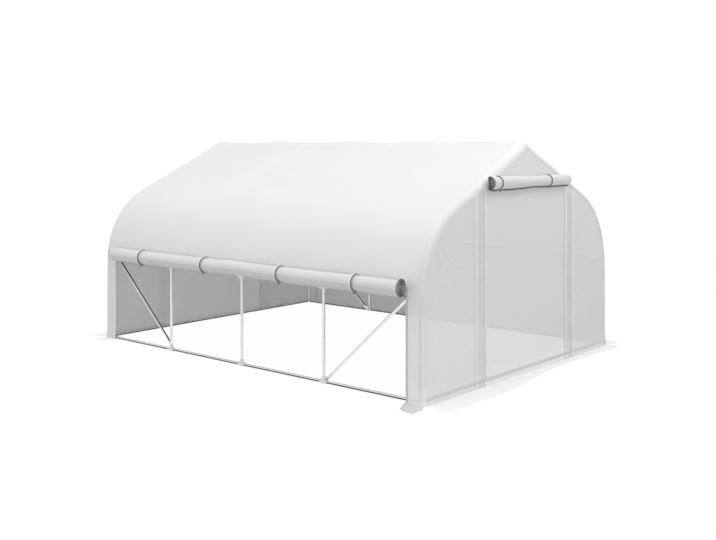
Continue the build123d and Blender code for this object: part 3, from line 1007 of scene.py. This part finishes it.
# Back curtain, let down over its opening
curtain_low, curtain_high = (Vector(corner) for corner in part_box("back_curtain"))
bar_low, bar_high = (Vector(corner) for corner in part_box("back_curtain_bar"))
bar_middle = (bar_low + bar_high) / 2


def back_curtain_place(x, row):
    """Point on the back curtain: down over the opening, then round the bar in a pocket."""
    kind, value = row
    if kind == "pocket":
        y = bar_middle.y + pocket_radius * cos(value)
        z = bar_middle.z + pocket_radius * sin(value)
        return (x, y, z), (x, half_girth + pocket_radius * (value - pi))
    wave = 0.0045 + 0.004 * ripple(x * 1.6, value * 0.7, 0, 11) * ramp(value, header_run, header_run + 0.3)
    wave *= 1 - 0.35 * ramp(value, half_girth - 0.12, half_girth - 0.02)
    return (x, *cover_yz(value, cover_off + wave, BACK)), (x, value)


curtain_rows = [("wall", run) for run in spread(header_run - curtain_lap, half_girth - 0.030, 40)]
curtain_rows += [("pocket", pi * (1 + k / 14)) for k in range(22)]
curtain_columns = spread(curtain_low.x, curtain_high.x, 130)
curtain = grid(curtain_columns, curtain_rows, back_curtain_place, True)
back_curtain = piece_from("back_curtain_sheet", curtain, [film], ("back_curtain",))

# Rolled curtain and door panel. Lengths along a roll are measured from its middle, and rise lifts its axis.
# A roll without a welded hem has its hem_end out of reach.
toggle = turned_part(
    "toggle", [(0.002, -0.013), (0.005, -0.010), (0.0045, 0), (0.005, 0.010), (0.002, 0.013)], 10
)
roll_low, roll_high = (Vector(corner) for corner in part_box("front_rolled_curtain"))
curtain_end = (roll_high.x - roll_low.x) / 2


def curtain_swell(x):
    """The rolled curtain is fatter to the left and gathers in at its left end."""
    gathered = 0.5 * ramp(-x, curtain_end - 0.095, curtain_end - 0.022)
    return (1.02 + 0.03 * ramp(-x, 0.2, 1.5)) * (1 - gathered)


def curtain_rise(x):
    """The rolled curtain hangs a little low, and less so at the middle hoop."""
    return 0.006 * bell(x, 0.25) - 0.009


lead_runs = spread(header_run - curtain_lap, header_run, 3)[:-1]
rolled_curtain = SimpleNamespace(
    middle=(roll_low + roll_high) / 2 + Vector((0, 0.006, 0)),
    along=Vector((1, 0, 0)),
    out=Vector((0, -1, 0)),
    ends=(0.022 - curtain_end, curtain_end),
    hem_end=curtain_end,
    cord_side=1,
    radius=(roll_high.z - roll_low.z) / 2,
    core=0.012,
    bore=0.0105,
    back=0.115,
    wound=0.90,
    flat=1.0,
    lead=[Vector((0, *cover_yz(run, cover_off + 0.004, FRONT))) for run in lead_runs],
    straps=[share * curtain_end for share in (-0.71, -0.22, 0.30, 0.75)],
    folds=((2.85, 0.15), (2.15, 0.06), (3.75, 0.03)),
    film=rolled_film_and_shade_lines,
    swell=curtain_swell,
    rise=curtain_rise,
)
curtain_nodes = ("front_rolled_curtain", "front_curtain_head")
make_roll_with_straps("front_curtain", rolled_curtain, curtain_nodes, "front_curtain_straps")

roll_low, roll_high = (Vector(corner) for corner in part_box("right_door_roll"))
door_middle = (roll_low + roll_high) / 2
door_end = (roll_high.y - roll_low.y) / 2


def door_swell(y):
    """The rolled door panel has a waist near its middle, and its back end is thin and rounded."""
    waist = 0.17 * bell(y - 0.05, 0.20)
    tip = min(max((y - door_end + 0.032) / 0.060, 0), 1)
    return (1.04 - waist - 0.10 * ramp(y, 0.1, 0.5)) * sqrt(1 - 0.85 * tip * tip)


def door_rise(y):
    """The rolled door panel is drawn up evenly."""
    return 0.004


lead_foot = door_top + panel_lap
rolled_door = SimpleNamespace(
    middle=door_middle - Vector((0.012, 0, 0)),
    along=Vector((0, 1, 0)),
    out=Vector((1, 0, 0)),
    ends=(0.020 - door_end, door_end + 0.028),
    hem_end=inf,
    cord_side=-1,
    radius=(roll_high.z - roll_low.z) / 2,
    core=0.005,
    bore=0.004,
    back=0.017,
    wound=1.60,
    flat=1.70,
    lead=[Vector((door_middle.x - 0.028, 0, z)) for z in spread(lead_foot + 0.030, lead_foot, 3)[:-1]],
    straps=[share * door_end for share in (-0.77, 0.47)],
    folds=((2.65, 0.06), (3.55, 0.05)),
    film=rolled_door_film,
    swell=door_swell,
    rise=door_rise,
)
make_roll_with_straps("right_door", rolled_door, ("right_door_roll",), "right_door_straps")

# A dark line under the door roll: painted shadow, drawn as a cord, which dips under the straps
shadow_cord_turn = 1.86
shadow_cord = []
for y in spread(rolled_door.ends[0] + 0.004, door_end - 0.03, 120):
    under_strap = sum(bell(y - strap, 0.014) for strap in rolled_door.straps)
    reach = roll_reach(rolled_door, y, shadow_cord_turn, 0) + 0.002 - 0.011 * under_strap
    shadow_cord.append(roll_point(rolled_door, y, shadow_cord_turn, reach))
tubes("right_door_edge_binding", [shadow_cord], shadow_cord_radius, cord)

# Bolts on the inside of the fittings and through the brace ends
bolt = turned_part(
    "bolt", [(0.0085, 0), (0.0085, 0.0014), (0.0064, 0.0014), (0.0064, 0.0052), (0.0048, 0.0062)], 6
)
fitting_half = 0.0158
base_bolt_z = base_z + 0.030
brace_bolts = ((hoop_xs[-2], 1.4672, 0.020), (end_x, 1.4629, 0.914))
bolt_places = []
for hoop_x in hoop_xs:
    bolt_places.append(((hoop_x, 0, purlin_z - fitting_half), (0, 0, -1)))
    for side in (FRONT, BACK):
        for bolt_z in (rail_z, base_bolt_z):
            bolt_places.append(((hoop_x, side * (leg_y - fitting_half), bolt_z), (0, -side, 0)))
for end in (LEFT, RIGHT):
    for side in (FRONT, BACK):
        bolt_places += [((end * x, side * y, z), (0, -side, 0)) for x, y, z in brace_bolts]
copies("frame_bolts", bolt, bolt_places, fitting_zinc)

# Zips of the doors
zip_tooth = turned_part("zip_tooth", [(0.0016, -0.001), (0.0026, 0.0006), (0.0016, 0.0022)], 4)
zip_slider = turned_part("zip_slider", [
    (0.004, 0), (0.0065, 0.004), (0.0065, 0.010), (0.003, 0.016), (0.0045, 0.034), (0.002, 0.036),
], 8)
zip_lift = {LEFT: 0.0105, RIGHT: 0.0040}
zip_foot, tooth_pitch, tooth_count = 0.04, 0.008, 200
slider_z, slider_lift = 0.075, 0.003
for end, where in END_NAMES.items():
    teeth = []
    sliders = []
    lift = zip_lift[end]
    for side in (FRONT, BACK):
        zip_y = side * (door_half + 0.004)
        for k in range(tooth_count):
            teeth.append((gable_point(end, zip_y, zip_foot + tooth_pitch * k, lift), (end, 0, 0)))
        sliders.append((gable_point(end, zip_y, slider_z, lift + slider_lift), (0, 0, -1)))
    copies(f"{where}_door_zips", zip_tooth, teeth, acetal_white)
    copies(f"{where}_door_zip_sliders", zip_slider, sliders, acetal_white)

# Floor, light and camera

def matt_paint(tree):
    """Matt floor paint: white to the eye and in reflections, but it sends back only part of the light."""
    rays = add(tree, "ShaderNodeLightPath").node.outputs
    seen_by = {0: rays["Is Camera Ray"], 1: rays["Is Glossy Ray"]}
    seen = add(tree, "ShaderNodeMath", seen_by, operation="MAXIMUM")
    matt = add(tree, "ShaderNodeBsdfDiffuse", {"Color": linear("CECECE")})
    bright = add(tree, "ShaderNodeBsdfDiffuse", {"Color": linear("FAFAFA")})
    glow = add(tree, "ShaderNodeEmission", {"Color": linear("FFFFFF"), "Strength": 1.02})
    pale = add(tree, "ShaderNodeMixShader", {0: 0.05, 1: glow, 2: bright})
    return add(tree, "ShaderNodeMixShader", {0: seen, 1: matt, 2: pale})


far = 60
floor_mesh = bpy.data.meshes.new("floor")
floor_mesh.from_pydata([(-far, -far, 0), (far, -far, 0), (far, far, 0), (-far, far, 0)], [], [(0, 1, 2, 3)])
floor_mesh.materials.append(made_material("pale_floor", matt_paint))
placed("floor", floor_mesh)

# The backdrop looks white, and gives a little less light than it shows, which leaves room for the key light
world = bpy.data.worlds.new("studio")
world.use_nodes = True
tree = world.node_tree
tree.nodes.clear()
seen = add(tree, "ShaderNodeLightPath", None, "Is Camera Ray")
strength = add(tree, "ShaderNodeMapRange", {0: seen, 3: 0.80, 4: 1.0})
backdrop = add(tree, "ShaderNodeBackground", {"Color": linear("FFFFFF"), "Strength": strength})
add(tree, "ShaderNodeOutputWorld", {"Surface": backdrop})
bpy.context.scene.world = world


def soft_light(name, place, target, size, power):
    """A square lamp at a place, turned to its target."""
    light = bpy.data.lights.new(name, "AREA")
    light.size = size
    light.energy = power
    made = placed(name, light)
    made.location = place
    made.rotation_euler = (Vector(target) - Vector(place)).to_track_quat("-Z", "Y").to_euler()


soft_light("key", (0.8, -3.4, 9.0), (0, 0, 0.8), 5.0, 229)
soft_light("gable_fill", (3.8, 0.3, 3.7), (2.0, 0.1, 1.6), 1.2, 16)

# A level camera whose lens is shifted down. Its focal length and horizon are in pixels of the photograph.
photo_width, photo_height = 716, 540
focal_length, horizon = 966.89, 146.98
camera_data = bpy.data.cameras.new("camera")
camera_data.sensor_width = 36
camera_data.lens = focal_length * camera_data.sensor_width / photo_width
camera_data.shift_y = -(photo_height / 2 - horizon) / photo_width
camera_data.clip_end = 200
camera = placed("camera", camera_data)
camera.location = (6.4078, -7.3999, 1.9585)
camera.rotation_euler = (pi / 2, 0, 0.7061)
bpy.context.scene.camera = camera
bpy.context.scene.view_settings.view_transform = "Standard"
